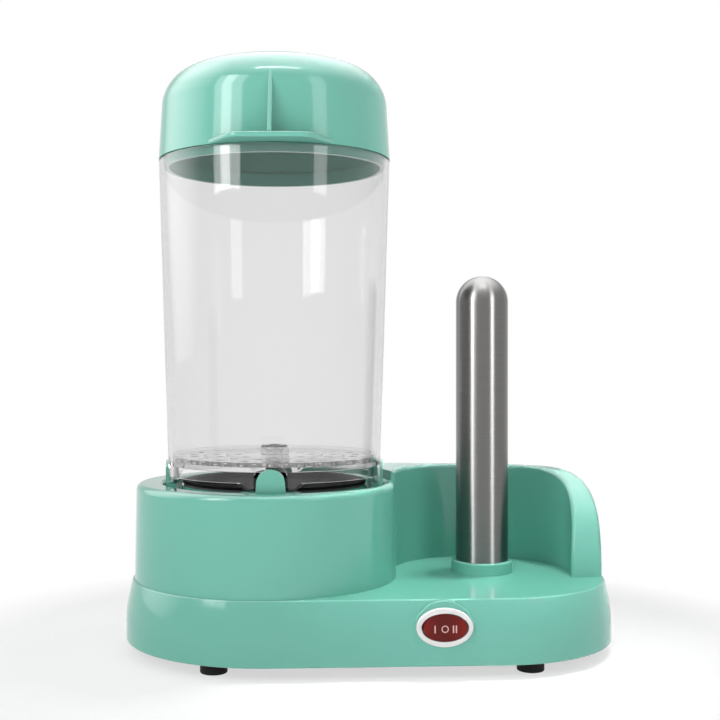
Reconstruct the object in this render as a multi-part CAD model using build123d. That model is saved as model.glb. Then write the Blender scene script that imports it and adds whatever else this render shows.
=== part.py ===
from build123d import *
import os
from math import atan2, cos, degrees, radians, sin, sqrt

# A counter-top steamer: a mint plastic base with a heated water pan under a clear jar on the left,
# and a heated steel spike in a walled bay on the right. Millimetres, +Z up, front towards -Y,
# origin on the table under the middle of the base.

# Clearances and general moulding values
wall = 2.5
fit_gap = 0.3
running_gap = 0.05
overrun = 1.0
touch = 0.01

# Jar, measured at the underside of its legs, and what it stands in
jar_foot_radius = 52.5
jar_flare = 4.85
jar_height = 158.5
jar_wall = 2.2
jar_axis_shift = 4.25
jar_leg_length = 3.6
jar_skirt_height = 8.6
jar_ledge_thickness = 2.0
jar_ledge_width = 4.6
jar_lip_round = 0.6
station_count = 4
notch_width = 16.2
notch_height = 13.2
leg_foot_width = 4.2
leg_slope_width = 5.4
window_round = 1.6

# Upright tongues of the base that hold the jar
tongue_width = 14.3
tongue_taper = 0.55
tongue_height = 10.5
tongue_thickness = 2.6
tongue_proud = 1.5
pad_width = 27.0
pad_inner_margin = 1.0
pad_rise = 3.2

# Recess in the turret
recess_margin = 1.5
recess_edge_drop = 1.0
trough_depth = 3.0
rim_width = 5.1
turret_rise = 46.5
turret_draft = 0.8
turret_edge_round = 3.0
turret_ledge = 0.9

# Water pan, its seal and its clips
pan_pad_gap = 3.2
pan_flange = 4.2
pan_depth = 3.0
pan_thickness = 1.4
pan_flange_thickness = 1.2
pan_corner = 1.6
pan_opening_gap = 1.2
pan_collar_rise = 2.0
pan_collar_margin = 0.6
seal_thickness = 1.0
seal_margin = 0.5
stud_count = 3
stud_radius = 2.0
stud_ring_share = 0.823
stud_length = 8.6
clip_thickness = 1.5
clip_width = 10.0
clip_inner_reach = 4.0
clip_bearing = 6.0
nut_flats = 7.0
nut_height = 3.2

# Heater under the pan and its two cut-outs
element_radius = 3.0
element_ring_share = 0.533
element_gap_degrees = 40.0
element_pin_length = 9.0
element_pin_radius = 1.6
seat_gap = 0.1
thermostat_radius = 8.5
thermostat_height = 6.5
thermostat_cap_radius = 6.0
thermostat_cap_height = 2.0
blade_width = 6.3
blade_thickness = 0.8
blade_length = 9.0
fuse_radius = 2.0
fuse_length = 12.0
fuse_lead_radius = 0.5
fuse_lead_length = 2.5
fuse_gap = 0.4

# Bay, shield wall and spike
bay_radius = 44.4
bay_tangent_gap = 0.1
shield_side = 12.9
shield_step = 0.9
shield_rise = 50.3
shield_round = 2.0
shield_tip_shift = 16.0
shield_seam = 0.05
shield_left_start = 3.0
shield_end_y = -9.0
spike_shift_x = 1.9
spike_y = 9.0
spike_radius = 13.1
spike_sheet = 0.8
spike_rise = 149.5
spike_boss_radius = 15.4
spike_boss_rise = 6.0
spike_boss_round = 1.0
spike_sleeve_depth = 9.0
spike_flange_width = 4.4
retainer_thickness = 1.5
retainer_margin = 3.6
retainer_hole_radius = 9.0
retainer_post_radius = 3.5
retainer_screw_count = 3
bush_height = 10.0
heater_radius = 5.0
heater_length = 118.0
heater_tail = 6.0

# Plinth
plinth_height = 29.5
band_height = 10.0
deck_inset = 3.2
slope_height_shares = (0.0, 0.34, 0.68, 1.0)
slope_inset_shares = (0.0, 0.16, 0.52, 1.0)
deck_round = 0.8
band_round = 1.0

# Bottom cover, feet and screws
foot_height = 6.0
foot_radius = 6.3
foot_round = 0.8
foot_stem_radius = 3.0
foot_stem_head = 0.6
foot_inset = 13.4
foot_left_angle = 113.0
foot_right_angle = 71.0
cover_thickness = 2.5
post_radius = 4.0
post_inset = 9.5
post_left_angle = 137.0
post_right_angle = 40.0
post_middle_x = -14.0
screw_radius = 1.5
screw_head_radius = 3.0
screw_head_height = 1.6
screw_length = 11.0
pilot_depth = 13.0
vent_count = 7
vent_width = 3.0
vent_length = 42.0
vent_pitch = 8.0

# Three-position rocker switch on the front
switch_shift_x = 25.2
switch_drop = 11.8
boss_width = 27.9
boss_proud = 0.05
boss_round = 0.7
boss_depth = 7.0
bezel_half_width = 12.75
bezel_half_height = 8.75
bezel_thickness = 1.6
bezel_round = 0.7
barrel_margin = 1.0
barrel_depth = 15.0
barrel_gap = 0.15
pocket_half_width = 10.6
pocket_half_height = 6.35
rocker_half_width = 9.75
rocker_half_height = 6.05
rocker_proud = 1.0
rocker_dish_radius = 42.0
pivot_depth = 3.6
pivot_radius = 1.0
pivot_reach = 1.1
rocker_tail = 2.6
pocket_floor_depth = 5.2
terminal_width = 4.8
terminal_thickness = 0.8
terminal_length = 8.0
terminal_pitch = 6.6
terminal_count = 3

# Cord gland at the back
gland_shift_x = 55.3
gland_rise = 11.2
gland_pad_radius = 8.5
gland_pad_proud = 0.2
gland_pad_depth = 6.0
gland_flange_radius = 7.0
gland_flange_thickness = 1.8
gland_body_radius = 5.6
gland_bore_radius = 3.5
gland_nut_flats = 14.0
gland_nut_height = 4.0
gland_round = 0.6

# Terminal block on the bottom cover
block_length = 30.0
block_width = 16.0
block_height = 11.0
block_base_height = 5.0
block_tower_width = 8.4
block_tower_gap = 1.4
block_way_count = 3
block_bore_radius = 2.0
block_y = 24.0
block_screw_radius = 1.4

# Perforated tray in the jar
tray_thickness = 2.0
tray_edge_rise = 1.2
tray_edge_width = 2.0
tray_hub_radius = 7.0
tray_hub_rise = 5.0
tray_hub_bore = 3.0
tray_hole_radius = 2.2
tray_hole_ring_shares = (0.36, 0.58, 0.80)
tray_hole_counts = (8, 14, 20)
tray_bead_height = 0.7
tray_bead_width = 1.2
tray_bead_shares = (0.47, 0.69)

# Lid with its lift lip and fin
lid_height = 51.4
lid_overhang = 0.15
lid_wall_rise = 25.3
lid_draft = 1.5
lid_shoulder_round = 19.9
lid_wall = 2.4
lid_plug_depth = 4.3
lid_plug_wall = 2.2
lid_plug_gap = 0.35
lid_rim_height = 2.4
lip_thickness = 2.4
lip_reach = 11.2
lip_front_width = 36.0
lip_root_width = 57.0
lip_round = 8.0
lip_root_round = 12.0
lip_edge_round = 0.8
fin_thickness = 2.0
fin_rise = 31.0
fin_front_margin = 0.8
fin_root = 1.2
fin_round = 0.6

# Radii that follow one another outwards from the jar and from the spike
tongue_radius = jar_foot_radius + tongue_proud
recess_radius = tongue_radius + recess_margin
turret_radius = recess_radius + jar_axis_shift + rim_width
turret_top_radius = turret_radius - turret_draft
left_radius = turret_radius + turret_ledge + deck_inset
shield_radius = spike_shift_x + bay_radius + shield_side
right_radius = shield_radius + shield_step + deck_inset
centre_distance = turret_radius + bay_radius - spike_shift_x - bay_tangent_gap

# Plan places: the base is centred on the origin from left to right
total_width = left_radius + centre_distance + right_radius
left_x = left_radius - total_width / 2
right_x = total_width / 2 - right_radius
jar_x = left_x + jar_axis_shift
spike_x = right_x + spike_shift_x
switch_x = right_x - switch_shift_x
gland_x = left_x + gland_shift_x
tangent_cosine = (left_radius - right_radius) / centre_distance
tangent_sine = sqrt(1 - tangent_cosine ** 2)

# Heights
floor_z = foot_height
cover_top_z = floor_z + cover_thickness
deck_z = floor_z + plinth_height
turret_z = deck_z + turret_rise
trough_z = turret_z - trough_depth
pad_z = trough_z + pad_rise
jar_z = pad_z + fit_gap
skirt_z = jar_z + jar_leg_length
ledge_z = jar_z + jar_skirt_height
tray_z = ledge_z + jar_ledge_thickness + fit_gap
jar_top_z = jar_z + jar_height
lid_z = jar_top_z + fit_gap

# The node files
nodes = {}


def turned(points, x=0, y=0):
    """Solid of revolution from (radius, height) corners about the upright line at x, y."""
    section = Plane.XZ * make_face(Polyline(*points, close=True))
    return Pos(x, y, 0) * revolve(section, Axis.Z)


def rod(radius, bottom, top, x=0, y=0):
    """Upright round rod between two heights."""
    return Pos(x, y, bottom) * extrude(Circle(radius), top - bottom)


def hull_face(inset, height):
    """Plan of the plinth: two unlike circles and their two common tangents, drawn in by inset."""
    left = left_radius - inset
    right = right_radius - inset
    back_left = (left_x + left * tangent_cosine, left * tangent_sine)
    back_right = (right_x + right * tangent_cosine, right * tangent_sine)
    front_left = (back_left[0], -back_left[1])
    front_right = (back_right[0], -back_right[1])
    outline = ThreePointArc(back_left, (left_x - left, 0), front_left)
    outline += Line(front_left, front_right)
    outline += ThreePointArc(front_right, (right_x + right, 0), back_right)
    outline += Line(back_right, back_left)
    return Pos(0, 0, height) * make_face(outline)


def side_y(x):
    """How far the straight sides of the lower band stand from the middle line at x."""
    return (left_radius - tangent_cosine * (x - left_x)) / tangent_sine


def edges_at(shape, height):
    """The edges of a shape that lie flat at one height."""
    level = []
    for edge in shape.edges():
        box = edge.bounding_box()
        if abs(box.min.Z - height) < touch and abs(box.max.Z - height) < touch:
            level.append(edge)
    return ShapeList(level)


def polar(radius, angle, x=0, y=0):
    """Plan point at an angle in degrees round x, y."""
    return x + radius * cos(radians(angle)), y + radius * sin(radians(angle))


def along_y(face, start, end):
    """Prism of a front-view outline between two distances from the middle line."""
    return Pos(0, end, 0) * extrude(Plane.XZ * face, end - start)


def jar_outer(height):
    """Outside radius of the jar wall at a height."""
    return jar_foot_radius + jar_flare * (height - jar_z) / jar_height


def arch_face(width, taper, height):
    """Tongue outline standing on the line y = 0: sides that lean in, and a round head."""
    half = width / 2
    head = half - taper
    outline = Line((-half, 0), (-head, height - head))
    outline += ThreePointArc((-head, height - head), (0, height), (head, height - head))
    outline += Line((head, height - head), (half, 0))
    outline += Line((half, 0), (-half, 0))
    return make_face(outline)


def round_jar(shape):
    """Copies of a shape made at the front of an upright axis, one at each jar station."""
    step = 360 / station_count
    return [Pos(jar_x, 0, 0) * Rot(0, 0, step * index) * shape for index in range(station_count)]


# Places shared by the base and what is screwed to it
foot_places = []
for mirror in (-1, 1):
    foot_places.append(polar(left_radius - foot_inset, mirror * foot_left_angle, left_x))
    foot_places.append(polar(right_radius - foot_inset, mirror * foot_right_angle, right_x))
post_places = []
for mirror in (-1, 1):
    post_places.append(polar(left_radius - post_inset, mirror * post_left_angle, left_x))
    post_places.append((post_middle_x, mirror * (side_y(post_middle_x) - post_inset)))
    post_places.append(polar(right_radius - post_inset, mirror * post_right_angle, right_x))
flange_top_z = deck_z - wall - spike_sleeve_depth
flange_bottom_z = flange_top_z - spike_sheet
flange_radius = spike_radius + spike_flange_width
retainer_ring_radius = flange_radius + fit_gap + retainer_post_radius
retainer_bottom_z = flange_bottom_z - retainer_thickness
retainer_places = []
for index in range(retainer_screw_count):
    angle = 360 / retainer_screw_count * index
    retainer_places.append(polar(retainer_ring_radius, angle, spike_x, spike_y))
pad_inner_radius = jar_foot_radius - jar_wall - pad_inner_margin
pan_radius = pad_inner_radius - pan_pad_gap - pan_collar_margin
pan_wall_radius = pan_radius - pan_flange
pan_opening_radius = pan_wall_radius + pan_opening_gap
stud_ring_radius = pan_wall_radius * stud_ring_share
element_ring_radius = pan_wall_radius * element_ring_share
collar_z = trough_z + pan_collar_rise
collar_radius = pan_radius + pan_collar_margin
pan_flange_z = collar_z + seal_thickness
pan_top_z = pan_flange_z + pan_flange_thickness
pan_floor_z = pan_top_z - pan_depth
pan_under_z = pan_floor_z - pan_thickness
clip_top_z = trough_z - wall
clip_bottom_z = clip_top_z - clip_thickness
stud_places = []
for index in range(stud_count):
    stud_places.append(polar(stud_ring_radius, 360 / stud_count * index + 90, jar_x))
switch_z = deck_z - switch_drop
boss_y = -side_y(switch_x) - boss_proud
bezel_y = boss_y - bezel_thickness
rocker_y = bezel_y - rocker_proud
pivot_y = rocker_y + pivot_depth
switch_turn = degrees(atan2(tangent_cosine, tangent_sine))
barrel_half_width = bezel_half_width - barrel_margin
barrel_half_height = bezel_half_height - barrel_margin
gland_z = floor_z + gland_rise
gland_face_y = side_y(gland_x - gland_pad_radius) + gland_pad_proud
gland_inner_y = gland_face_y - gland_pad_depth


def square_to_front(shape):
    """Turns a piece of the switch about the rocker's pivot, square to the slanting front of the plinth."""
    return Pos(switch_x, pivot_y, 0) * Rot(0, 0, switch_turn) * Pos(-switch_x, -pivot_y, 0) * shape


def shield_wall(inset, top):
    """Wall round the back of the bay, sunk by inset on every face, up to a top height."""
    bottom = deck_z - wall - touch
    rise = top - bottom
    plan = hull_face(deck_inset + shield_step + inset, bottom)
    ring = extrude(plan, rise)
    ring -= rod(bay_radius + inset, bottom - overrun, top + overrun, spike_x, spike_y)
    far = total_width
    left_front = Pos(spike_x - far / 2, spike_y + shield_left_start + inset - far / 2, bottom)
    ring -= left_front * Box(far, far, far, align=(Align.CENTER, Align.CENTER, Align.CENTER))
    sweep = shield_rise - inset
    centre_y = shield_end_y + shield_rise
    end = (centre_y - sweep, deck_z)
    side = Line((far, bottom), (end[0], bottom))
    side += Line((end[0], bottom), end)
    side += ThreePointArc(end, (centre_y - sweep * cos(radians(45)), deck_z + sweep * sin(radians(45))),
                          (centre_y, deck_z + sweep))
    side += Line((centre_y, deck_z + sweep), (far, deck_z + sweep))
    side += Line((far, deck_z + sweep), (far, bottom))
    profile = Pos(spike_x, 0, 0) * extrude(Plane.YZ * make_face(side), far)
    left_half = Pos(spike_x - far / 2, 0, 0) * Box(far, far, far)
    return ring & (profile + left_half)


def shield_rim(shape, top):
    """Upper edges along both faces of the shield wall, down its sloping end too."""
    rim = []
    for edge in shape.edges():
        box = edge.bounding_box()
        if box.max.Z > top - touch and box.max.Y - box.min.Y > touch:
            rim.append(edge)
    return rim


def make_base_housing():
    """Moulded plinth, open below: lobed body with a soft slope, spike boss, posts and switch boss."""
    slope_z = floor_z + band_height
    slope_rise = plinth_height - band_height
    rings = []
    for height_share, inset_share in zip(slope_height_shares, slope_inset_shares):
        rings.append(hull_face(deck_inset * inset_share, slope_z + slope_rise * height_share))
    plinth = extrude(hull_face(0, floor_z), band_height) + loft(rings)
    plinth = fillet(edges_at(plinth, deck_z), deck_round)
    plinth = fillet(edges_at(plinth, floor_z), band_round)

    boss_top_z = deck_z + spike_boss_rise
    spike_boss = rod(spike_boss_radius, deck_z - wall, boss_top_z, spike_x, spike_y)
    spike_boss = fillet(edges_at(spike_boss, boss_top_z), spike_boss_round)

    cavity = extrude(hull_face(wall, floor_z - overrun), band_height + overrun)
    cavity += loft([hull_face(wall, slope_z), hull_face(wall + deck_inset, deck_z - wall)], ruled=True)
    shell = plinth + spike_boss - cavity
    shell -= rod(turret_radius - wall, deck_z - wall - overrun, deck_z + overrun, left_x)

    for x, y in post_places:
        shell += rod(post_radius, cover_top_z, deck_z, x, y) & plinth
    for x, y in retainer_places:
        shell += rod(retainer_post_radius, flange_bottom_z, deck_z - wall + touch, x, y)
    shell += rod(flange_radius, flange_top_z, deck_z - wall + touch, spike_x, spike_y)
    boss_bottom_z = floor_z + band_height
    boss_plan = Pos(switch_x, boss_bottom_z) * arch_face(boss_width, 0, deck_z - boss_bottom_z)
    boss = along_y(boss_plan, boss_y, boss_y + boss_depth)
    boss_rim = [edge for edge in boss.edges() if edge.bounding_box().max.Y < boss_y + touch]
    shell += square_to_front(fillet(boss_rim, boss_round))
    shell += along_y(Pos(gland_x, gland_z) * Circle(gland_pad_radius), gland_inner_y, gland_face_y)

    shell -= rod(spike_radius + running_gap, flange_top_z - overrun, boss_top_z + overrun, spike_x, spike_y)
    for x, y in post_places:
        shell -= rod(screw_radius + running_gap, cover_top_z - overrun, cover_top_z + pilot_depth, x, y)
    for x, y in retainer_places:
        shell -= rod(screw_radius + running_gap, flange_bottom_z - overrun, deck_z - wall, x, y)
    switch_hole = Pos(switch_x, switch_z) * Ellipse(
        barrel_half_width + barrel_gap, barrel_half_height + barrel_gap)
    shell -= square_to_front(along_y(switch_hole, boss_y - overrun, boss_y + boss_depth + overrun))
    gland_hole = Pos(gland_x, gland_z) * Circle(gland_body_radius + running_gap)
    shell -= along_y(gland_hole, gland_inner_y - overrun, gland_face_y + overrun)
    return shell


def make_jar_turret():
    """Drum under the jar, open below: drafted wall, recess for the jar's foot and pan collar."""
    drum = turned([(0, deck_z), (turret_radius, deck_z), (turret_top_radius, turret_z),
                   (0, turret_z)], left_x)
    drum = fillet(edges_at(drum, turret_z), turret_edge_round)
    ceiling_z = trough_z - wall
    drum -= turned([(0, deck_z - overrun), (turret_radius - wall, deck_z - overrun),
                    (turret_top_radius - wall, ceiling_z), (0, ceiling_z)], left_x)
    recess_edge = recess_radius + recess_edge_drop
    drum -= turned([(0, trough_z), (recess_radius, trough_z), (recess_radius, turret_z - recess_edge_drop),
                    (recess_edge, turret_z), (recess_edge, turret_z + overrun),
                    (0, turret_z + overrun)], jar_x)
    drum += rod(collar_radius, ceiling_z, collar_z, jar_x)
    return drum - rod(pan_opening_radius, ceiling_z - overrun, collar_z + overrun, jar_x)


def make_jar_tongues():
    """Four upright tongues that centre the jar, each with a pad that carries the jar's legs."""
    tongue_inner = tongue_radius - tongue_thickness
    tongue_plan = Pos(0, trough_z) * arch_face(tongue_width, tongue_taper, pad_rise + tongue_height)
    tongue_ring = turned([(tongue_inner, trough_z), (tongue_radius, trough_z),
                          (tongue_radius, jar_top_z), (tongue_inner, jar_top_z)])
    tongue = along_y(tongue_plan, -tongue_radius - overrun, 0) & tongue_ring
    pad_ring = turned([(pad_inner_radius, trough_z), (tongue_radius, trough_z),
                       (tongue_radius, pad_z), (pad_inner_radius, pad_z)])
    pad_plan = Pos(0, trough_z) * Rectangle(pad_width, total_width)
    pad = along_y(pad_plan, -tongue_radius - overrun, 0) & pad_ring
    return round_jar(pad + tongue)


def make_bay_shield():
    """Hollow wall round the back of the bay. It stands on the deck and ends against the turret."""
    shield_top_z = deck_z + shield_rise
    far = total_width
    shield = shield_wall(0, shield_top_z)
    shield = fillet(shield_rim(shield, shield_top_z), shield_round)
    hollow = shield_wall(wall, shield_top_z - wall)
    shield -= hollow - rod(turret_radius + wall, deck_z - wall - overrun, shield_top_z, left_x)
    shield -= Pos(0, 0, deck_z - far / 2) * Box(far, far, far)
    shield -= Pos(left_x + shield_tip_shift - far / 2, 0, deck_z) * Box(far, far, far)
    foot_radius_here = turret_radius + shield_seam
    top_radius_here = turret_top_radius + shield_seam
    return shield - turned([(0, deck_z - overrun), (foot_radius_here, deck_z - overrun),
                            (foot_radius_here, deck_z), (top_radius_here, turret_z),
                            (top_radius_here, shield_top_z + overrun), (0, shield_top_z + overrun)], left_x)


def make_bottom_cover():
    """Flat plate that closes the base, with screw sinks, foot holes and cooling slots."""
    cover = extrude(hull_face(wall + fit_gap, floor_z), cover_thickness)
    for x, y in post_places:
        cover -= rod(screw_radius + fit_gap, floor_z - overrun, cover_top_z + overrun, x, y)
        cover -= rod(screw_head_radius + fit_gap, floor_z - overrun, floor_z + screw_head_height, x, y)
    for x, y in foot_places:
        cover -= rod(foot_stem_radius + running_gap, floor_z - overrun, cover_top_z + overrun, x, y)
    slot = Rot(0, 0, 90) * SlotOverall(vent_length, vent_width)
    first = -(vent_count - 1) / 2
    for index in range(vent_count):
        slot_x = left_x + vent_pitch * (first + index)
        cover -= Pos(slot_x, 0, floor_z - overrun) * extrude(slot, cover_thickness + 2 * overrun)
    return cover


def make_rubber_feet():
    """Four push-in feet: a round pad, a stem through the cover and a small head that holds it."""
    head_radius = foot_stem_radius + foot_stem_head
    head_z = cover_top_z + foot_stem_radius
    feet = []
    for x, y in foot_places:
        foot = turned([(0, 0), (foot_radius, 0), (foot_radius, floor_z), (foot_stem_radius, floor_z),
                       (foot_stem_radius, cover_top_z), (head_radius, cover_top_z),
                       (foot_stem_radius, head_z), (0, head_z)], x, y)
        feet.append(fillet(edges_at(foot, 0), foot_round))
    return feet


def screw(tip_z, head_z, x, y):
    """Screw driven upwards, with a cross cut into its head."""
    under_z = head_z + screw_head_height
    body = turned([(0, head_z), (screw_head_radius, head_z), (screw_head_radius, under_z),
                   (screw_radius, under_z), (screw_radius, tip_z - screw_radius), (0, tip_z)], x, y)
    slot_length = screw_head_radius
    slot_width = screw_radius / 3
    slot_depth = screw_head_height / 2
    slot = Box(slot_length, slot_width, slot_depth) + Box(slot_width, slot_length, slot_depth)
    return body - Pos(x, y, head_z) * slot


def make_cover_screws():
    """The screws that hold the bottom cover, heads flush in their sinks."""
    return [screw(floor_z + screw_length, floor_z, x, y) for x, y in post_places]


def make_water_pan():
    """Pressed black pan with a flat flange and welded studs below."""
    bend_radius = pan_wall_radius - pan_corner
    inner_wall = pan_wall_radius - pan_thickness
    pan = turned([(0, pan_under_z), (bend_radius, pan_under_z),
                  (pan_wall_radius, pan_under_z + pan_corner), (pan_wall_radius, pan_flange_z),
                  (pan_radius, pan_flange_z), (pan_radius, pan_top_z), (inner_wall, pan_top_z),
                  (inner_wall - pan_corner, pan_floor_z), (0, pan_floor_z)], jar_x)
    pan = fillet(edges_at(pan, pan_top_z), pan_flange_thickness / 3)
    for x, y in stud_places:
        pan += rod(stud_radius, pan_under_z - stud_length, pan_under_z, x, y)
    return pan


def make_pan_seal():
    """Flat silicone ring between the pan flange and the collar of the base."""
    inner = pan_opening_radius + seal_margin
    outer = pan_radius - seal_margin
    return turned([(inner, collar_z), (outer, collar_z), (outer, pan_flange_z),
                   (inner, pan_flange_z)], jar_x)


def make_pan_clips():
    """Three strap clips on the studs that pull the pan down on its seal."""
    inner = stud_ring_radius - clip_inner_reach
    outer = pan_opening_radius + clip_bearing
    plan = Pos((inner + outer) / 2, 0) * RectangleRounded(outer - inner, clip_width, clip_inner_reach / 2)
    clips = []
    for index, (x, y) in enumerate(stud_places):
        angle = 360 / stud_count * index + 90
        clip = Pos(jar_x, 0, clip_bottom_z) * Rot(0, 0, angle) * extrude(plan, clip_thickness)
        hole = rod(stud_radius + running_gap, clip_bottom_z - overrun, clip_top_z + overrun, x, y)
        clips.append(clip - hole)
    return clips


def make_clip_nuts():
    """Hexagon nuts on the studs."""
    nut_z = clip_bottom_z - nut_height
    nuts = []
    for x, y in stud_places:
        nut = Pos(x, y, nut_z) * extrude(RegularPolygon(nut_flats / 2, 6, major_radius=False), nut_height)
        nuts.append(nut - rod(stud_radius + running_gap, nut_z - overrun, clip_top_z, x, y))
    return nuts


def make_heating_element():
    """Sheathed heater bent in an open ring under the pan, with its two cold ends turned down."""
    ring_z = pan_under_z - element_radius - seat_gap
    section = Plane.XZ * (Pos(element_ring_radius, ring_z) * Circle(element_radius))
    element = revolve(section, Axis.Z, 360 - element_gap_degrees)
    element = Rot(0, 0, element_gap_degrees / 2) * element
    for angle in (element_gap_degrees / 2, -element_gap_degrees / 2):
        x, y = polar(element_ring_radius, angle)
        element += Pos(x, y, ring_z) * Sphere(element_radius)
        element += rod(element_radius, ring_z - element_pin_length, ring_z, x, y)
        element += rod(element_pin_radius, ring_z - 2 * element_pin_length, ring_z, x, y)
    return Pos(jar_x, 0, 0) * element


def make_thermostat():
    """Snap-disc cut-out against the middle of the pan, with two side blades."""
    body_z = pan_under_z - thermostat_height
    body = rod(thermostat_radius, body_z, pan_under_z, jar_x)
    body += rod(thermostat_cap_radius, body_z - thermostat_cap_height, body_z, jar_x)
    blade = Box(blade_thickness, blade_width, blade_length, align=(Align.CENTER, Align.CENTER, Align.MAX))
    for side in (-1, 1):
        body += Pos(jar_x + side * (thermostat_cap_radius - blade_thickness), 0, body_z) * blade
    return body


def make_thermal_fuse():
    """Small one-shot fuse with a lead at each end, lying under the pan beside the thermostat."""
    axis_z = pan_under_z - fuse_radius - seat_gap
    across = Rot(0, 90, 0)
    fuse = across * Cylinder(fuse_radius, fuse_length)
    fuse += across * Cylinder(fuse_lead_radius, fuse_length + 2 * fuse_lead_length)
    return Pos(jar_x, thermostat_radius + fuse_gap + fuse_radius, axis_z) * fuse


def make_spike_tube():
    """Drawn steel sheath with a round end, and a flange below that bears on the sleeve of the base."""
    top_z = deck_z + spike_rise
    bend_z = top_z - spike_radius
    inner = spike_radius - spike_sheet
    lean = cos(radians(45))
    outline = Polyline((inner, bend_z), (inner, flange_bottom_z), (flange_radius, flange_bottom_z),
                       (flange_radius, flange_top_z), (spike_radius, flange_top_z), (spike_radius, bend_z))
    outline += ThreePointArc((spike_radius, bend_z), (spike_radius * lean, bend_z + spike_radius * lean),
                             (0, top_z))
    outline += Line((0, top_z), (0, bend_z + inner))
    outline += ThreePointArc((0, bend_z + inner), (inner * lean, bend_z + inner * lean), (inner, bend_z))
    return Pos(spike_x, spike_y, 0) * revolve(Plane.XZ * make_face(outline), Axis.Z)


def make_spike_retainer():
    """Ring that clamps the spike flange up against the sleeve."""
    low_z = retainer_bottom_z - overrun
    high_z = flange_bottom_z + overrun
    ring = rod(retainer_ring_radius + retainer_margin, retainer_bottom_z, flange_bottom_z, spike_x, spike_y)
    ring -= rod(retainer_hole_radius, low_z, high_z, spike_x, spike_y)
    for x, y in retainer_places:
        ring -= rod(screw_radius + fit_gap, low_z, high_z, x, y)
    return ring


def make_retainer_screws():
    """The screws of the spike retainer."""
    head_z = retainer_bottom_z - screw_head_height
    return [screw(head_z + screw_length, head_z, x, y) for x, y in retainer_places]


def make_heater_bush():
    """Ceramic bush that centres the heater in the foot of the spike."""
    outer = spike_radius - spike_sheet - running_gap
    inner = heater_radius + running_gap
    top_z = flange_bottom_z + bush_height
    return turned([(inner, flange_bottom_z), (outer, flange_bottom_z), (outer, top_z), (inner, top_z)],
                  spike_x, spike_y)


def make_spike_heater():
    """Cartridge heater that stands in the spike, with two lead pins below."""
    bottom_z = flange_bottom_z - heater_tail
    top_z = bottom_z + heater_length
    heater = rod(heater_radius, bottom_z, top_z, spike_x, spike_y)
    heater = fillet(edges_at(heater, top_z), heater_radius / 3)
    pin_radius = heater_radius / 5
    for side in (-1, 1):
        pin_x = spike_x + side * heater_radius / 2
        heater += rod(pin_radius, bottom_z - heater_tail, bottom_z + overrun, pin_x, spike_y)
    return heater


def make_switch_frame():
    """White switch moulding: oval bezel, barrel behind it and the pocket the rocker swings in."""
    bezel = along_y(Pos(switch_x, switch_z) * Ellipse(bezel_half_width, bezel_half_height), bezel_y, boss_y)
    front = [edge for edge in bezel.edges() if edge.bounding_box().max.Y < bezel_y + touch]
    bezel = fillet(front, bezel_round)
    barrel_plan = Pos(switch_x, switch_z) * Ellipse(barrel_half_width, barrel_half_height)
    frame = bezel + along_y(barrel_plan, boss_y, boss_y + barrel_depth)
    pocket_plan = Pos(switch_x, switch_z) * Ellipse(pocket_half_width, pocket_half_height)
    frame -= along_y(pocket_plan, bezel_y - overrun, pivot_y + pocket_floor_depth)
    pin_half = pocket_half_height + pivot_reach + fit_gap
    frame -= rod(pivot_radius + running_gap, switch_z - pin_half, switch_z + pin_half, switch_x, pivot_y)
    return square_to_front(frame)


def make_switch_rocker():
    """Oval rocker with a hollowed face and a pivot pin above and below."""
    plan = Pos(switch_x, switch_z) * Ellipse(rocker_half_width, rocker_half_height)
    body = along_y(plan, rocker_y, pivot_y + rocker_tail)
    low_z = switch_z - bezel_half_height
    high_z = switch_z + bezel_half_height
    body &= rod(pocket_half_width - fit_gap, low_z, high_z, switch_x, pivot_y)
    sag = rocker_dish_radius - sqrt(rocker_dish_radius ** 2 - rocker_half_width ** 2)
    body -= rod(rocker_dish_radius, low_z, high_z, switch_x, rocker_y + sag - rocker_dish_radius)
    pin_half = pocket_half_height + pivot_reach
    body += rod(pivot_radius, switch_z - pin_half, switch_z + pin_half, switch_x, pivot_y)
    return square_to_front(body)


def make_switch_terminals():
    """Three push-on blades at the back of the switch."""
    first = -(terminal_count - 1) / 2
    back_y = boss_y + barrel_depth
    blades = []
    for index in range(terminal_count):
        blade_x = switch_x + terminal_pitch * (first + index)
        plan = Pos(blade_x, switch_z) * Rectangle(terminal_thickness, terminal_width)
        blades.append(square_to_front(along_y(plan, back_y, back_y + terminal_length)))
    return blades


def make_cord_gland():
    """Bush for the mains lead: outer flange, body through the wall and the bore of the lead."""
    end_y = gland_inner_y - gland_nut_height
    outer_y = gland_face_y + gland_flange_thickness
    flange = along_y(Pos(gland_x, gland_z) * Circle(gland_flange_radius), gland_face_y, outer_y)
    rim = [edge for edge in flange.edges() if edge.bounding_box().min.Y > outer_y - touch]
    flange = fillet(rim, gland_round)
    gland = flange + along_y(Pos(gland_x, gland_z) * Circle(gland_body_radius), end_y, gland_face_y)
    bore = Pos(gland_x, gland_z) * Circle(gland_bore_radius)
    return gland - along_y(bore, end_y - overrun, outer_y + overrun)


def make_gland_nut():
    """Hexagon nut that holds the gland from inside."""
    plan = RegularPolygon(gland_nut_flats / 2, 6, major_radius=False)
    plan -= Circle(gland_body_radius + running_gap)
    return along_y(Pos(gland_x, gland_z) * plan, gland_inner_y - gland_nut_height, gland_inner_y)


block_pitch = block_tower_width + block_tower_gap
block_places = []
for index in range(block_way_count):
    block_places.append(gland_x + block_pitch * (index - (block_way_count - 1) / 2))
block_mid_z = cover_top_z + block_height / 2
block_top_z = cover_top_z + block_height


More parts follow.
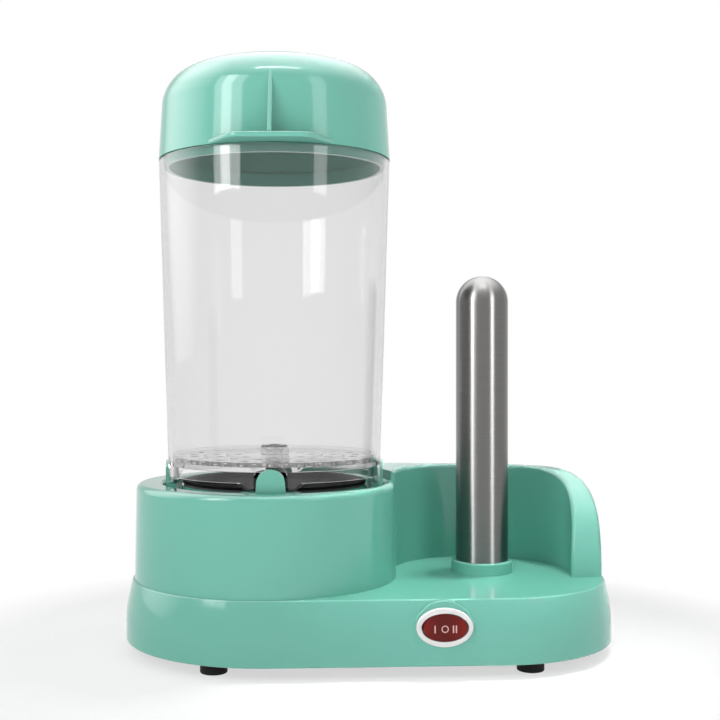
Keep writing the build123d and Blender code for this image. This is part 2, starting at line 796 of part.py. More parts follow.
def make_terminal_block():
    """Three-way screw terminal block on the bottom cover."""
    standing = (Align.CENTER, Align.CENTER, Align.MIN)
    block = Box(block_length, block_width, block_base_height, align=standing)
    block = Pos(gland_x, block_y, cover_top_z) * block
    tower = Box(block_tower_width, block_width / 2, block_height, align=standing)
    for x in block_places:
        block += Pos(x, block_y, cover_top_z) * tower
    for x in block_places:
        bore = Pos(x, block_mid_z) * Circle(block_bore_radius)
        block -= along_y(bore, block_y - block_width, block_y + block_width)
        block -= rod(block_screw_radius + running_gap, block_mid_z, block_top_z + overrun, x, block_y)
    return block


def make_terminal_screws():
    """Clamp screws of the terminal block, slotted on top."""
    slot = Box(2 * block_screw_radius, block_screw_radius / 3, block_screw_radius)
    screws = []
    for x in block_places:
        body = rod(block_screw_radius, block_mid_z, block_top_z, x, block_y)
        screws.append(body - Pos(x, block_y, block_top_z) * slot)
    return screws


def make_steam_jar():
    """Clear flared jar: open top, inner ledge for the tray, and a cut-away skirt that stands on legs."""
    ledge_top_z = ledge_z + jar_ledge_thickness
    ledge_inner = jar_outer(ledge_z) - jar_wall - jar_ledge_width
    top_radius = jar_outer(jar_top_z)
    jar = turned([(jar_foot_radius, jar_z), (top_radius, jar_top_z), (top_radius - jar_wall, jar_top_z),
                  (jar_outer(ledge_top_z) - jar_wall, ledge_top_z), (ledge_inner, ledge_top_z),
                  (ledge_inner, ledge_z), (jar_outer(ledge_z) - jar_wall, ledge_z),
                  (jar_foot_radius - jar_wall, jar_z)])
    jar = Pos(jar_x, 0, 0) * fillet(edges_at(jar, jar_top_z), jar_lip_round)

    cut_z = jar_z - overrun
    cut_inner = jar_foot_radius - jar_wall - touch
    notch_ring = turned([(cut_inner, cut_z), (top_radius, cut_z), (top_radius, jar_top_z),
                         (cut_inner, jar_top_z)])
    notch_plan = Pos(0, cut_z) * arch_face(notch_width, tongue_taper, notch_height + overrun)
    notch = along_y(notch_plan, -top_radius, 0) & notch_ring
    for station in round_jar(notch):
        jar -= station

    leg_outer = notch_width / 2 + leg_foot_width
    half_step = radians(180 / station_count)
    foot_half = jar_foot_radius * sin(half_step) - leg_outer * cos(half_step)
    slope_half = foot_half - leg_slope_width * cos(half_step)
    window_plan = make_face(Polyline((-foot_half, cut_z), (foot_half, cut_z), (foot_half, jar_z),
                                     (slope_half, skirt_z), (-slope_half, skirt_z), (-foot_half, jar_z),
                                     close=True))
    window_plan = fillet(window_plan.vertices().group_by(Axis.Y)[-1], window_round)
    window_depth = jar_foot_radius * cos(half_step) - jar_ledge_width
    window = Rot(0, 0, degrees(half_step)) * along_y(window_plan, -top_radius, -window_depth)
    for station in round_jar(window):
        jar -= station
    return jar


def make_steam_tray():
    """Clear perforated tray on the jar ledge, with a raised edge, two beads, steam holes and a hub."""
    radius = jar_outer(tray_z) - jar_wall - fit_gap
    top_z = tray_z + tray_thickness
    edge_z = top_z + tray_edge_rise
    bead_z = top_z + tray_bead_height
    hub_z = top_z + tray_hub_rise
    tray = rod(radius, tray_z, edge_z, jar_x)
    tray -= rod(radius - tray_edge_width, top_z, edge_z + overrun, jar_x)
    for share in tray_bead_shares:
        inner = radius * share - tray_bead_width / 2
        outer = inner + tray_bead_width
        tray += turned([(inner, tray_z), (outer, tray_z), (outer, bead_z), (inner, bead_z)], jar_x)
    hub = rod(tray_hub_radius, tray_z, hub_z, jar_x)
    tray += fillet(edges_at(hub, hub_z), tray_hub_radius / 4)
    tray -= rod(tray_hub_bore, tray_z - overrun, hub_z + overrun, jar_x)
    for share, count in zip(tray_hole_ring_shares, tray_hole_counts):
        for index in range(count):
            x, y = polar(radius * share, 360 / count * index, jar_x)
            tray -= rod(tray_hole_radius, tray_z - overrun, hub_z, x, y)
    return tray


def make_lid():
    """Domed lid: drafted wall, elliptical crown, plug ring in the jar mouth, lift lip and its fin."""
    rim_radius = jar_outer(jar_top_z) + lid_overhang
    shoulder_radius = rim_radius - lid_draft
    shoulder_z = lid_z + lid_wall_rise
    crown = lid_height - lid_wall_rise
    reach = shoulder_radius - lid_shoulder_round
    crown_rise = crown - lid_shoulder_round
    crown_radius = (shoulder_radius * (reach - lid_shoulder_round) + crown ** 2) / (2 * crown_rise)
    plug_outer = jar_outer(jar_top_z) - jar_wall - lid_plug_gap
    plug_inner = plug_outer - lid_plug_wall
    plug_z = lid_z - lid_plug_depth
    rim_z = lid_z + lid_rim_height
    lean = atan2(crown_radius - crown, reach)

    def crown_line(sink):
        """Shoulder arc and crown arc of the dome, drawn in from the outside by sink."""
        shoulder = lid_shoulder_round - sink
        top = crown_radius - sink
        crown_z = shoulder_z + crown - crown_radius
        start = (shoulder_radius - sink, shoulder_z)
        middle = (reach + shoulder * cos(lean / 2), shoulder_z + shoulder * sin(lean / 2))
        join = (reach + shoulder * cos(lean), shoulder_z + shoulder * sin(lean))
        over = (lean + radians(90)) / 2
        line = ThreePointArc(start, middle, join)
        return line + ThreePointArc(join, (top * cos(over), crown_z + top * sin(over)), (0, crown_z + top))

    outline = Line((rim_radius, lid_z), (shoulder_radius, shoulder_z)) + crown_line(0) + crown_line(lid_wall)
    outline += Line((0, shoulder_z + crown), (0, shoulder_z + crown - lid_wall))
    outline += Polyline((shoulder_radius - lid_wall, shoulder_z), (rim_radius - lid_wall, rim_z),
                        (plug_inner, rim_z), (plug_inner, plug_z), (plug_outer, plug_z),
                        (plug_outer, lid_z), (rim_radius, lid_z))
    dome = revolve(Plane.XZ * make_face(outline), Axis.Z)

    root_half = lip_root_width / 2
    front_half = lip_front_width / 2
    front_y = -rim_radius - lip_reach
    root_y = -sqrt(rim_radius ** 2 - root_half ** 2)
    lip_lean = (root_half - front_half) / (root_y - front_y)
    inner_y = root_y + lip_reach
    inner_half = root_half + lip_lean * lip_reach
    lip_plan = make_face(Polyline((-inner_half, inner_y), (-front_half, front_y), (front_half, front_y),
                                  (inner_half, inner_y), close=True))
    lip_plan = Circle(shoulder_radius) + lip_plan
    lip_plan = fillet(lip_plan.vertices().sort_by(Axis.Y)[2:4], lip_root_round)
    lip_plan = fillet(lip_plan.vertices().sort_by(Axis.Y)[:2], lip_round)
    lip = Pos(0, 0, lid_z) * extrude(lip_plan, lip_thickness)
    lip = fillet(edges_at(lip, lid_z), lip_edge_round)
    lip = fillet(edges_at(lip, lid_z + lip_thickness), lip_edge_round)
    lip_top_z = lid_z + lip_thickness
    lip -= rod(shoulder_radius - lid_wall / 2, lid_z - overrun, lip_top_z + overrun)

    fin_z = lid_z + lip_thickness / 2
    fin_top_z = lip_top_z + fin_rise
    fin_top_radius = reach + sqrt(lid_shoulder_round ** 2 - (fin_top_z - shoulder_z) ** 2)
    fin_front_y = front_y + fin_front_margin
    fin_side = make_face(Polyline((fin_front_y, fin_z), (fin_front_y, lip_top_z + fin_front_margin),
                                  (-fin_top_radius, fin_top_z), (-fin_top_radius + fin_root, fin_top_z),
                                  (-shoulder_radius + fin_root, shoulder_z), (-rim_radius + fin_root, fin_z),
                                  close=True))
    fin = Pos(-fin_thickness / 2, 0, 0) * extrude(Plane.YZ * fin_side, fin_thickness)
    fin = fillet(fin.edges().sort_by(SortBy.LENGTH)[-2:], fin_round)
    return Pos(jar_x, 0, 0) * (dome + lip + fin)


nodes["base_housing"] = make_base_housing()
nodes["jar_turret"] = make_jar_turret()
nodes["jar_tongues"] = make_jar_tongues()
nodes["bay_shield"] = make_bay_shield()
nodes["bottom_cover"] = make_bottom_cover()
nodes["rubber_feet"] = make_rubber_feet()
nodes["cover_screws"] = make_cover_screws()
nodes["water_pan"] = make_water_pan()
nodes["pan_seal"] = make_pan_seal()
nodes["pan_clips"] = make_pan_clips()
nodes["clip_nuts"] = make_clip_nuts()
nodes["heating_element"] = make_heating_element()
nodes["thermostat"] = make_thermostat()
nodes["thermal_fuse"] = make_thermal_fuse()
nodes["spike_tube"] = make_spike_tube()
nodes["spike_retainer"] = make_spike_retainer()
nodes["retainer_screws"] = make_retainer_screws()
nodes["heater_bush"] = make_heater_bush()
nodes["spike_heater"] = make_spike_heater()
nodes["switch_frame"] = make_switch_frame()
nodes["switch_rocker"] = make_switch_rocker()
nodes["switch_terminals"] = make_switch_terminals()
nodes["cord_gland"] = make_cord_gland()
nodes["gland_nut"] = make_gland_nut()
nodes["terminal_block"] = make_terminal_block()
nodes["terminal_screws"] = make_terminal_screws()
nodes["steam_jar"] = make_steam_jar()
nodes["steam_tray"] = make_steam_tray()
nodes["lid"] = make_lid()

os.makedirs("parts", exist_ok=True)
for name, shape in nodes.items():
    solid = Compound(shape) if isinstance(shape, list) else shape
    export_step(solid, "parts/" + name + ".step")
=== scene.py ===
# %% [markdown]
# # A hot dog machine, dressed for its portrait
# The shapes come from CAD as named nodes in one shared frame, in metres, with +Z up and the switch
# facing -Y. This lesson gives every node the finish of the real thing, adds the marks that a factory
# prints last, and lights the whole as a product photographer would.

# %% Load the frame
import bpy
from math import cos, pi, radians, sin
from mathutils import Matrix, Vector


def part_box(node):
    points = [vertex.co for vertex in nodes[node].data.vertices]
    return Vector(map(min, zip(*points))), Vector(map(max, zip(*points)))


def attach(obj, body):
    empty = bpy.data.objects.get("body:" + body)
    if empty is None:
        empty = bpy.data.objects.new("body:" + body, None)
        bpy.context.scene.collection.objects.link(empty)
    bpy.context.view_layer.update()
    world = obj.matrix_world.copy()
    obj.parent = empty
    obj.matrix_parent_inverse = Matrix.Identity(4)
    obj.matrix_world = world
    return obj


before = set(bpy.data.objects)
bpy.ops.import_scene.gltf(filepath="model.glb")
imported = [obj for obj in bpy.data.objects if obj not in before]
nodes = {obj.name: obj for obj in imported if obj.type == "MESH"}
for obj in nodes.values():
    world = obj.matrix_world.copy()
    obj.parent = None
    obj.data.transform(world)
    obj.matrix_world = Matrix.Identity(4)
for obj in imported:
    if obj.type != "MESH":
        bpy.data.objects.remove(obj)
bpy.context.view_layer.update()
bpy.ops.object.select_all(action="DESELECT")


# %% [markdown]
# ## Arithmetic with sockets
# A material is a graph of nodes, and a graph that is wired link by link is hard to read. One small
# class wraps an output socket, so that Python's own operators add the Math nodes. Everything else
# comes from a single method that takes the node's type, its settings and its sockets.

# %% A value that flows through a graph
class Flow:
    """One output socket of a graph. Arithmetic on it adds Math nodes."""

    def __init__(self, graph, socket):
        self.graph = graph
        self.socket = socket

    def math(self, operation, first, second):
        return self.graph.add("ShaderNodeMath", {"operation": operation}, {0: first, 1: second})

    def __add__(self, other):
        return self.math("ADD", self, other)

    def __radd__(self, other):
        return self.math("ADD", other, self)

    def __sub__(self, other):
        return self.math("SUBTRACT", self, other)

    def __rsub__(self, other):
        return self.math("SUBTRACT", other, self)

    def __mul__(self, other):
        return self.math("MULTIPLY", self, other)

    def __rmul__(self, other):
        return self.math("MULTIPLY", other, self)

    def __truediv__(self, other):
        return self.math("DIVIDE", self, other)

    def __abs__(self):
        return self.graph.add("ShaderNodeMath", {"operation": "ABSOLUTE"}, {0: self})

    def atmost(self, limit):
        return self.math("MINIMUM", self, limit)

    def atleast(self, limit):
        return self.math("MAXIMUM", self, limit)


print("a value is a", Flow.__name__)


# %% A graph has one way to add a node, and a finish is a material with such a graph
class Graph:
    """A tree of shader nodes."""

    def __init__(self, tree):
        self.tree = tree
        self.tree.nodes.clear()

    def add(self, kind, settings=None, sockets=None, output=0):
        """Adds a node, sets it up, fills or links its sockets and returns one of its outputs."""
        node = self.tree.nodes.new(kind)
        for name, value in (settings or {}).items():
            setattr(node, name, value)
        for name, value in (sockets or {}).items():
            if isinstance(value, Flow):
                self.tree.links.new(value.socket, node.inputs[name])
            else:
                node.inputs[name].default_value = value
        return Flow(self, node.outputs[output])

    def end(self, kind, sockets):
        """Adds the node that the graph ends in."""
        node = self.tree.nodes.new(kind)
        for name, value in sockets.items():
            self.tree.links.new(value.socket, node.inputs[name])


# A Mix node has a set of sockets for each kind of value. These are the numbers of those for colours.
mix_share, mix_first, mix_second, mix_colour = 0, 6, 7, 2


class Finish(Graph):
    """A named material. Its patterns lie on the object's own coordinates, in metres."""

    def __init__(self, name):
        self.material = bpy.data.materials.new(name)
        self.material.use_nodes = True
        super().__init__(self.material.node_tree)
        self.place = self.add("ShaderNodeTexCoord", output="Object")

    def noise(self, scale, detail, stretch=(1.0, 1.0, 1.0)):
        spot = self.add("ShaderNodeMapping", {}, {"Vector": self.place, "Scale": stretch})
        sockets = {"Vector": spot, "Scale": scale, "Detail": detail}
        return self.add("ShaderNodeTexNoise", {}, sockets)

    def mix(self, share, first, second):
        sockets = {mix_share: share, mix_first: first, mix_second: second}
        return self.add("ShaderNodeMix", {"data_type": "RGBA"}, sockets, mix_colour)

    def bump(self, height, strength, distance):
        sockets = {"Height": height, "Strength": strength, "Distance": distance}
        return self.add("ShaderNodeBump", {}, sockets)

    def surface(self, sockets, **ends):
        shader = self.add("ShaderNodeBsdfPrincipled", {}, sockets)
        self.end("ShaderNodeOutputMaterial", {"Surface": shader, **ends})
        print("finish", self.material.name, "has", len(self.tree.nodes), "nodes")


print("a material is a", Finish.__name__)


# %% Screen colours, and putting a finish on a node
def screen(red, green, blue):
    """A colour as it looks on a screen, 0 to 255, turned into the linear light that shaders use."""
    light = []
    for level in (red / 255, green / 255, blue / 255):
        light.append(level / 12.92 if level <= 0.04045 else ((level + 0.055) / 1.055) ** 2.4)
    return (light[0], light[1], light[2], 1.0)


def dress(finish, *names):
    """Puts a finish on CAD nodes. Their meshes stay as they are."""
    for name in names:
        if not nodes[name].material_slots:
            nodes[name].data.materials.append(None)
        for slot in nodes[name].material_slots:
            slot.material = finish.material
    print("dressed", ", ".join(names))


print("middle grey on a screen is", round(screen(128, 128, 128)[0], 3), "in linear light")

# %% [markdown]
# ## Mint plastic
# The housing and the lid are glossy injection-moulded plastic. Its pigment drifts a little over a
# hand's width, its skin has the faintest orange peel, and its gloss changes slightly where the melt
# cooled against the mould. One smooth layer is enough for its deep, wet highlight.

# %% Mint plastic on the housing and the lid
mint = Finish("mint_plastic")
pigment = mint.noise(scale=7.0, detail=3.0)
cooling = mint.noise(scale=26.0, detail=2.0)
peel = mint.noise(scale=900.0, detail=2.0)
mint.surface({
    "Base Color": mint.mix(pigment, screen(98, 168, 151), screen(105, 174, 158)),
    "Roughness": 0.07 + 0.05 * cooling,
    "Normal": mint.bump(peel, strength=0.03, distance=0.0002),
})
dress(mint, "base_housing", "jar_turret", "jar_tongues", "bay_shield", "lid")

# %% [markdown]
# ## Clear plastic
# The jar and its tray are thick clear plastic. Light bends in it, so the wall shows as pale and dark
# lines at its edges. The body takes up a little light along its length: seen face on it is almost
# colourless, but the long way through the wall at the sides looks grey. The thin tray is clearer.

# %% Clear plastic on the jar and the tray
smoke_colour = (0.57, 0.56, 0.565, 1.0)
jar_density = 100.0
tray_density = 20.0


def clear_plastic(name, density):
    """Clear plastic with faint flow lines and finger marks. The density greys its thick places."""
    clear = Finish(name)
    flow_lines = clear.noise(scale=18.0, detail=2.0, stretch=(1.0, 1.0, 0.3))
    handling = clear.noise(scale=70.0, detail=4.0)
    sockets = {"Color": smoke_colour, "Density": density}
    smoke = clear.add("ShaderNodeVolumeAbsorption", {}, sockets)
    clear.surface({
        "Base Color": screen(251, 251, 251),
        "Roughness": 0.012 + 0.02 * handling,
        "IOR": 1.49,
        "Transmission Weight": 1.0,
        "Normal": clear.bump(flow_lines, strength=0.02, distance=0.0008),
    }, Volume=smoke)
    return clear


dress(clear_plastic("clear_plastic", jar_density), "steam_jar")
dress(clear_plastic("clear_tray_plastic", tray_density), "steam_tray")

# %% [markdown]
# ## Steel
# The spike is drawn stainless tube, polished round and round on a lathe. The fine rings that run
# round it smear each lamp into an upright stripe. Bump alone would need rings finer than a pixel, so
# the shader's anisotropy does it: turned a quarter, it smears along the tube and stays sharp across.

# %% Polished steel on the spike
steel = Finish("polished_steel")
rings = steel.noise(scale=60.0, detail=4.0, stretch=(0.6, 0.6, 60.0))
smear = steel.noise(scale=22.0, detail=3.0)
steel.surface({
    "Base Color": steel.mix(rings, screen(104, 103, 102), screen(122, 121, 120)),
    "Metallic": 1.0,
    "Roughness": 0.24 + 0.08 * rings + 0.04 * smear,
    "Anisotropic": 0.9,
    "Anisotropic Rotation": 0.25,
    "Normal": steel.bump(rings, strength=0.12, distance=0.00005),
})
dress(steel, "spike_tube")

# %% [markdown]
# ## Dark pieces
# The pan has a black non-stick coating with fine speckle. The feet are dull rubber. The cover below
# and the gland at the back are black plastic from a spark-eroded mould, which leaves an even grain.

# %% Black coating on the pan
coating = Finish("black_coating")
speckle = coating.noise(scale=1500.0, detail=3.0)
film = coating.noise(scale=30.0, detail=3.0)
coating.surface({
    "Base Color": coating.mix(speckle, screen(9, 9, 10), screen(24, 24, 26)),
    "Roughness": 0.50 + 0.16 * film,
    "Specular IOR Level": 0.03,
    "Normal": coating.bump(speckle, strength=0.1, distance=0.0001),
})
dress(coating, "water_pan")

# %% Rubber feet
rubber = Finish("black_rubber")
dust = rubber.noise(scale=160.0, detail=4.0)
pores = rubber.noise(scale=1800.0, detail=2.0)
rubber.surface({
    "Base Color": rubber.mix(dust, screen(6, 6, 6), screen(22, 21, 21)),
    "Roughness": 0.55 + 0.25 * dust,
    "Specular IOR Level": 0.25,
    "Normal": rubber.bump(pores, strength=0.25, distance=0.0001),
})
dress(rubber, "rubber_feet")

# %% Grained black plastic below and at the back
grained = Finish("black_plastic")
erosion = grained.noise(scale=2200.0, detail=2.0)
shade = grained.noise(scale=14.0, detail=2.0)
grained.surface({
    "Base Color": grained.mix(shade, screen(30, 30, 31), screen(40, 40, 41)),
    "Roughness": 0.46 + 0.14 * erosion,
    "Normal": grained.bump(erosion, strength=0.3, distance=0.0001),
})
dress(grained, "bottom_cover", "cord_gland", "gland_nut", "thermostat")

# %% [markdown]
# ## The switch
# A white glossy oval holds a dark red rocker. Its colour is darker brown in the middle and brighter
# red towards its two ends. The distance from its middle, taken from its own box, drives that change.

# %% White plastic on the switch frame and the terminal block
white = Finish("white_plastic")
tint = white.noise(scale=40.0, detail=2.0)
ripple = white.noise(scale=1200.0, detail=2.0)
white.surface({
    "Base Color": white.mix(tint, screen(208, 207, 206), screen(218, 217, 216)),
    "Roughness": 0.16 + 0.08 * tint,
    "Coat Weight": 0.4 + 0.2 * tint,
    "Normal": white.bump(ripple, strength=0.03, distance=0.0001),
})
dress(white, "switch_frame", "terminal_block")

# %% Red plastic on the rocker
rocker_low, rocker_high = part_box("switch_rocker")
rocker_middle = (rocker_low + rocker_high) / 2
rocker_reach = (rocker_high.x - rocker_low.x) / 2
red = Finish("red_plastic")
across = red.add("ShaderNodeSeparateXYZ", {}, {0: red.place})
# Share of the brighter red, growing from the rocker's middle towards both its ends.
end_share = (abs(across - rocker_middle.x) / rocker_reach).atmost(1.0)
streaks = red.noise(scale=300.0, detail=3.0)
red.surface({
    "Base Color": red.mix(end_share * end_share, screen(84, 18, 14), screen(120, 26, 20)),
    "Roughness": 0.26 + 0.1 * streaks,
    "Specular IOR Level": 0.18,
    "Normal": red.bump(streaks, strength=0.03, distance=0.0001),
})
dress(red, "switch_rocker")

# %% [markdown]
# ## Pieces inside
# Nobody sees these until the bottom cover comes off, but each one is what it is: zinc-plated steel
# with its crystals, heater sheath browned by heat, brass, grey silicone and chalky ceramic.

# %% Zinc-plated steel
plated = Finish("plated_steel")
crystals = plated.add("ShaderNodeTexVoronoi", {}, {"Vector": plated.place, "Scale": 900.0})
plated.surface({
    "Base Color": plated.mix(crystals, screen(176, 178, 178), screen(206, 207, 205)),
    "Metallic": 1.0,
    "Roughness": 0.28 + 0.2 * crystals,
})
dress(plated, "cover_screws", "pan_clips", "clip_nuts", "thermal_fuse")
dress(plated, "spike_retainer", "retainer_screws")

# %% Heater sheath
sheath = Finish("heater_sheath")
scorch = sheath.noise(scale=55.0, detail=4.0)
scale_crust = sheath.noise(scale=900.0, detail=3.0)
sheath.surface({
    "Base Color": sheath.mix(scorch, screen(96, 88, 80), screen(140, 132, 124)),
    "Metallic": 1.0,
    "Roughness": 0.38 + 0.2 * scorch,
    "Normal": sheath.bump(scale_crust, strength=0.1, distance=0.0001),
})
dress(sheath, "heating_element", "spike_heater")

# %% Brass
brass = Finish("brass")
tarnish = brass.noise(scale=120.0, detail=4.0)
brass.surface({
    "Base Color": brass.mix(tarnish, screen(196, 164, 92), screen(170, 134, 70)),
    "Metallic": 1.0,
    "Roughness": 0.26 + 0.22 * tarnish,
})
dress(brass, "switch_terminals", "terminal_screws")

# %% Silicone
silicone = Finish("silicone")
bloom = silicone.noise(scale=200.0, detail=3.0)
silicone.surface({
    "Base Color": silicone.mix(bloom, screen(58, 57, 56), screen(74, 73, 72)),
    "Roughness": 0.5 + 0.2 * bloom,
})
dress(silicone, "pan_seal")

# %% Ceramic
ceramic = Finish("ceramic")
chalk = ceramic.noise(scale=700.0, detail=4.0)
ceramic.surface({
    "Base Color": ceramic.mix(chalk, screen(222, 217, 206), screen(234, 230, 221)),
    "Roughness": 0.6 + 0.2 * chalk,
    "Normal": ceramic.bump(chalk, strength=0.15, distance=0.0001),
})
dress(ceramic, "heater_bush")

# %% [markdown]
# ## Marks on the rocker
# The three positions of the switch are printed on its face: one bar, a ring and two bars. The face is
# hollow from side to side, so a flat mark would float at one end and sink at the other. Each mark is
# cut from a primitive, and pressed onto the face with a Shrinkwrap modifier. The bars are subdivided
# first, so that they can follow the hollow.

# %% Paint for the marks
paint = Finish("switch_print")
wear = paint.noise(scale=2600.0, detail=3.0)
paint.surface({
    "Base Color": paint.mix(wear, screen(222, 184, 178), screen(204, 160, 154)),
    "Roughness": 0.4 + 0.2 * wear,
})


# %% Helpers that work on the piece being modelled
def named(name):
    """Gives the object just made its name and returns it."""
    piece = bpy.context.object
    piece.name = name
    piece.data.name = name
    return piece


def settle(piece, finish, body):
    """Puts the piece's place in its mesh, dresses it and lets it ride on a body."""
    bpy.ops.object.select_all(action="DESELECT")
    piece.select_set(True)
    bpy.context.view_layer.objects.active = piece
    bpy.ops.object.transform_apply(location=True, rotation=True, scale=True)
    piece.data.materials.clear()
    piece.data.materials.append(finish.material)
    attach(piece, body)
    piece.select_set(False)
    print("piece", piece.name, "faces", len(piece.data.polygons))


def press_onto(piece, node, lift):
    """Presses a flat piece along Y onto a node's surface, and leaves it that much proud."""
    press = piece.modifiers.new("press", "SHRINKWRAP")
    press.target = nodes[node]
    press.wrap_method = "PROJECT"
    press.use_project_x = False
    press.use_project_y = True
    press.use_project_z = False
    press.use_negative_direction = True
    press.use_positive_direction = True
    press.offset = lift
    bpy.ops.object.modifier_apply(modifier="press")


# %% One bar, one ring and two bars
mark_height = 0.0033
mark_width = 0.00058
bar_cuts = 3
ring_radius = 0.0016
ring_width = 0.00042
ring_corners = 48
mark_lift = 0.00006
mark_standoff = 0.001
mark_drop = 0.0006
upright = (pi / 2, 0.0, 0.0)


def mark_spot(offset):
    """A place in front of the rocker's face, that far to the right of its middle."""
    return (rocker_middle.x + offset, rocker_low.y - mark_standoff, rocker_middle.z - mark_drop)


def bar_mark(name, offset):
    """An upright printed bar, subdivided so that it follows the hollow of the face."""
    bpy.ops.mesh.primitive_plane_add(size=1.0, location=mark_spot(offset), rotation=upright)
    bar = named(name)
    bar.scale = (mark_width, mark_height, 1.0)
    bpy.ops.object.transform_apply(location=True, rotation=True, scale=True)
    bpy.ops.object.mode_set(mode="EDIT")
    bpy.ops.mesh.select_all(action="SELECT")
    bpy.ops.mesh.subdivide(number_cuts=bar_cuts)
    bpy.ops.object.mode_set(mode="OBJECT")
    press_onto(bar, "switch_rocker", mark_lift)
    settle(bar, paint, "rocker")


def ring_mark(name, offset):
    """A printed ring: a disc is inset and its middle is deleted."""
    bpy.ops.mesh.primitive_circle_add(vertices=ring_corners, radius=ring_radius, fill_type="NGON",
                                      location=mark_spot(offset), rotation=upright)
    ring = named(name)
    bpy.ops.object.transform_apply(location=True, rotation=True, scale=True)
    bpy.ops.object.mode_set(mode="EDIT")
    bpy.ops.mesh.select_all(action="SELECT")
    bpy.ops.mesh.inset(thickness=ring_width)
    bpy.ops.mesh.delete(type="FACE")
    bpy.ops.object.mode_set(mode="OBJECT")
    press_onto(ring, "switch_rocker", mark_lift)
    settle(ring, paint, "rocker")


bar_mark("mark_one", offset=-0.0044)
ring_mark("mark_off", offset=0.0001)
bar_mark("mark_two_left", offset=0.0038)
bar_mark("mark_two_right", offset=0.0051)

# %% [markdown]
# ## White world and floor
# The machine stands on a white sweep. The white behind it comes from the world itself, which is white
# for the camera and for clear plastic, and a gentle fill for everything else. In gloss it brightens
# overhead and on the left, as a photographer's white cards would, without the hard edge that a card
# leaves on a round lid. The floor takes the shadow near the machine and is plain white further out.

# %% White world
white_light = (1.0, 1.0, 1.0, 1.0)
fill_level = 0.52
mirror_level = 0.90
overhead_level, overhead_axis, overhead_start = 4.8, (0.0, 0.20, 0.98), 0.60
left_level, left_axis, left_start = 3.7, (-0.837, 0.224, 0.50), 0.80
world = bpy.data.worlds.new("studio")
bpy.context.scene.world = world
world.use_nodes = True
room = Graph(world.node_tree)
direction = room.add("ShaderNodeTexCoord", output="Generated")


def ray(name):
    """One when the ray is of that kind, and zero when it is not."""
    return room.add("ShaderNodeLightPath", output=name)


def glow(axis, start):
    """One towards the axis, falling evenly to zero where the cosine to the axis is the start."""
    sockets = {0: direction, 1: axis}
    towards = room.add("ShaderNodeVectorMath", {"operation": "DOT_PRODUCT"}, sockets, "Value")
    return ((towards - start) / (1 - start)).atleast(0.0)


overhead_glow = overhead_level * glow(overhead_axis, overhead_start)
left_glow = left_level * glow(left_axis, left_start)
mirrored = mirror_level + overhead_glow + left_glow
bounce = fill_level + ray("Is Glossy Ray") * (mirrored - fill_level)
straight = ray("Is Camera Ray").atleast(ray("Is Transmission Ray"))
level = bounce + straight * (1 - bounce)
sky = room.add("ShaderNodeBackground", {}, {"Color": white_light, "Strength": level})
room.end("ShaderNodeOutputWorld", {"Surface": sky})
print("world fill", fill_level, "in gloss", mirror_level)

# %% White sweep underfoot
floor_size = 8.0
floor_colour = (0.93, 0.93, 0.93, 1.0)
fade_start = 0.10
fade_length = 0.14
least_glow = 0.62
sweep = Finish("white_sweep")
away = sweep.add("ShaderNodeVectorMath", {"operation": "LENGTH"}, {0: sweep.place}, "Value")
far = ((away - fade_start) / fade_length).atleast(least_glow).atmost(1.0)
near_floor = sweep.add("ShaderNodeBsdfDiffuse", {}, {"Color": floor_colour})
far_floor = sweep.add("ShaderNodeEmission", {}, {"Color": white_light, "Strength": 1.0})
floor_mix = sweep.add("ShaderNodeMixShader", {}, {0: far, 1: near_floor, 2: far_floor})
sweep.end("ShaderNodeOutputMaterial", {"Surface": floor_mix})
bpy.ops.mesh.primitive_plane_add(size=floor_size, location=(0.0, 0.0, 0.0))
floor = named("floor")
floor.data.materials.append(sweep.material)
print("floor laid", floor_size, "m wide")

# %% [markdown]
# ## Lamps
# A broad softbox on the left is the key light. Its bright core and a softbox on the right show in
# gloss alone, and draw the upright bands on the lid and the jar. So does a strip overhead, which gives
# the lid its one sharp glint. A weak bank in front, a white card low on the table and two lamps with
# grids over the deck and the bay even out the matte light. They hide from gloss and from clear
# plastic, where they would show as white patches from behind.


# %% Softboxes
def softbox(name, azimuth, height, distance, width, tall, radiance, aim, shows="all", beam=180.0):
    """A soft area lamp round the machine. Azimuth 0 is the camera's side, positive to the right.

    It shows in "all" of the light, in the "gloss" alone or in the "matte" light alone. A grid in
    front of it narrows its beam, which is given in degrees."""
    angle = radians(azimuth)
    spot = Vector((sin(angle) * distance, -cos(angle) * distance, height))
    turn = (Vector(aim) - spot).to_track_quat("-Z", "Y").to_euler()
    bpy.ops.object.light_add(type="AREA", location=spot, rotation=turn)
    lamp = bpy.context.object
    lamp.name = name
    lamp.data.shape = "RECTANGLE"
    lamp.data.size = width
    lamp.data.size_y = tall
    lamp.data.spread = radians(beam)
    lamp.data.energy = radiance * pi * width * tall
    lamp.visible_camera = False
    lamp.visible_diffuse = shows != "gloss"
    lamp.visible_glossy = shows != "matte"
    lamp.visible_transmission = shows != "matte"
    print("lamp", name, "power", round(lamp.data.energy, 2))
    return lamp


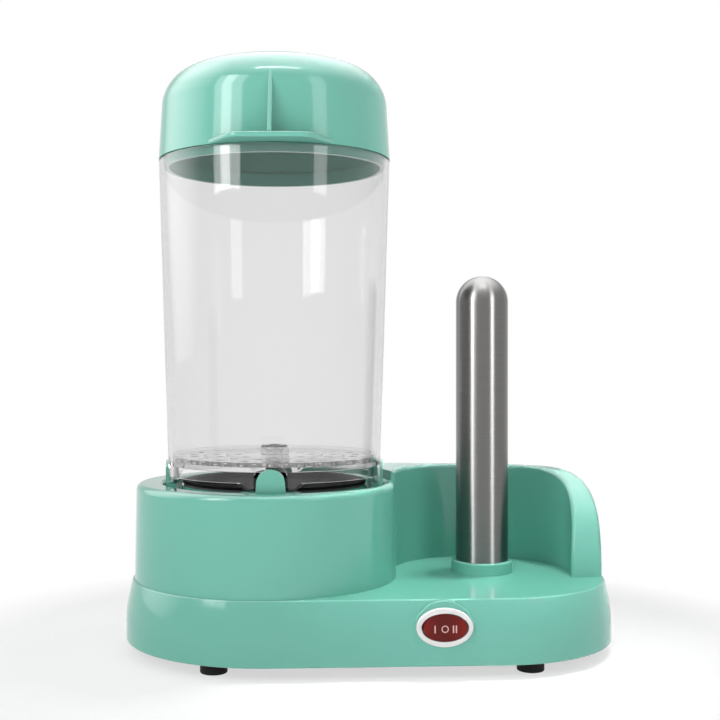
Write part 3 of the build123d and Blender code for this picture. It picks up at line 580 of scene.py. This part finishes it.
softbox("key_softbox", azimuth=-46.0, height=0.72, distance=1.1, width=0.58, tall=0.85,
        radiance=3.8, aim=(-0.02, 0.0, 0.30))
softbox("key_core", azimuth=-47.5, height=0.72, distance=1.08, width=0.20, tall=0.85,
        radiance=5.6, aim=(-0.02, 0.0, 0.30), shows="gloss")
softbox("side_softbox", azimuth=45.0, height=0.72, distance=1.1, width=0.30, tall=0.85,
        radiance=2.4, aim=(0.0, 0.0, 0.30), shows="gloss")
softbox("front_bank", azimuth=0.0, height=0.95, distance=0.75, width=1.0, tall=0.6,
        radiance=0.5, aim=(0.02, 0.0, 0.08), shows="matte")
softbox("table_card", azimuth=0.0, height=0.004, distance=0.55, width=1.0, tall=0.7,
        radiance=1.3, aim=(0.0, -0.545, 1.0), shows="matte")
softbox("deck_lamp", azimuth=107.0, height=1.10, distance=0.21, width=0.15, tall=0.15,
        radiance=2.1, aim=(0.035, -0.03, 0.04), shows="matte", beam=17.0)
softbox("bay_lamp", azimuth=22.0, height=0.48, distance=0.62, width=0.12, tall=0.12,
        radiance=0.35, aim=(0.068, -0.02, 0.045), shows="matte", beam=14.0)
softbox("overhead_strip", azimuth=0.0, height=1.20, distance=0.42, width=0.6, tall=0.06,
        radiance=22.0, aim=(-0.03, 0.0, 0.25), shows="gloss")

# %% [markdown]
# ## Strips for the spike
# The rings on the steel smear a lamp along the tube, which takes most of its strength. A photographer
# would stand two bright upright strips beside such a tube and screen everything else from them. Light
# linking does the same: the strips light the spike alone, and the deck mirrors their stripes.

# %% Two strips that only the spike sees
spike_only = bpy.data.collections.new("spike_only")
spike_only.objects.link(nodes["spike_tube"])
for strip_name, strip_azimuth in (("left_strip", -48.6), ("right_strip", 41.4)):
    strip = softbox(strip_name, azimuth=strip_azimuth, height=0.25, distance=1.0, width=0.22,
                    tall=0.6, radiance=10.0, aim=(0.057, 0.0, 0.10), shows="gloss")
    strip.light_linking.receiver_collection = spike_only

# %% [markdown]
# ## Camera
# The photograph was taken from in front at about the middle of the machine's height, with a lens long
# enough to keep the verticals straight. The camera stands a little to the left, level and square on,
# and its lens is shifted to the right, which shows the turret's right flank and the inside of the bay.

# %% Camera
camera_spot = (-0.02615, -0.585, 0.1425)
level_turn = (radians(90.0), 0.0, 0.0)
bpy.ops.object.camera_add(location=camera_spot, rotation=level_turn)
camera = bpy.context.object
camera.name = "portrait_camera"
camera.data.lens = 58.5
camera.data.sensor_width = 36.0
camera.data.shift_x = 0.0619
bpy.context.scene.camera = camera
bpy.context.scene.view_settings.view_transform = "Standard"
print("camera at", camera_spot)
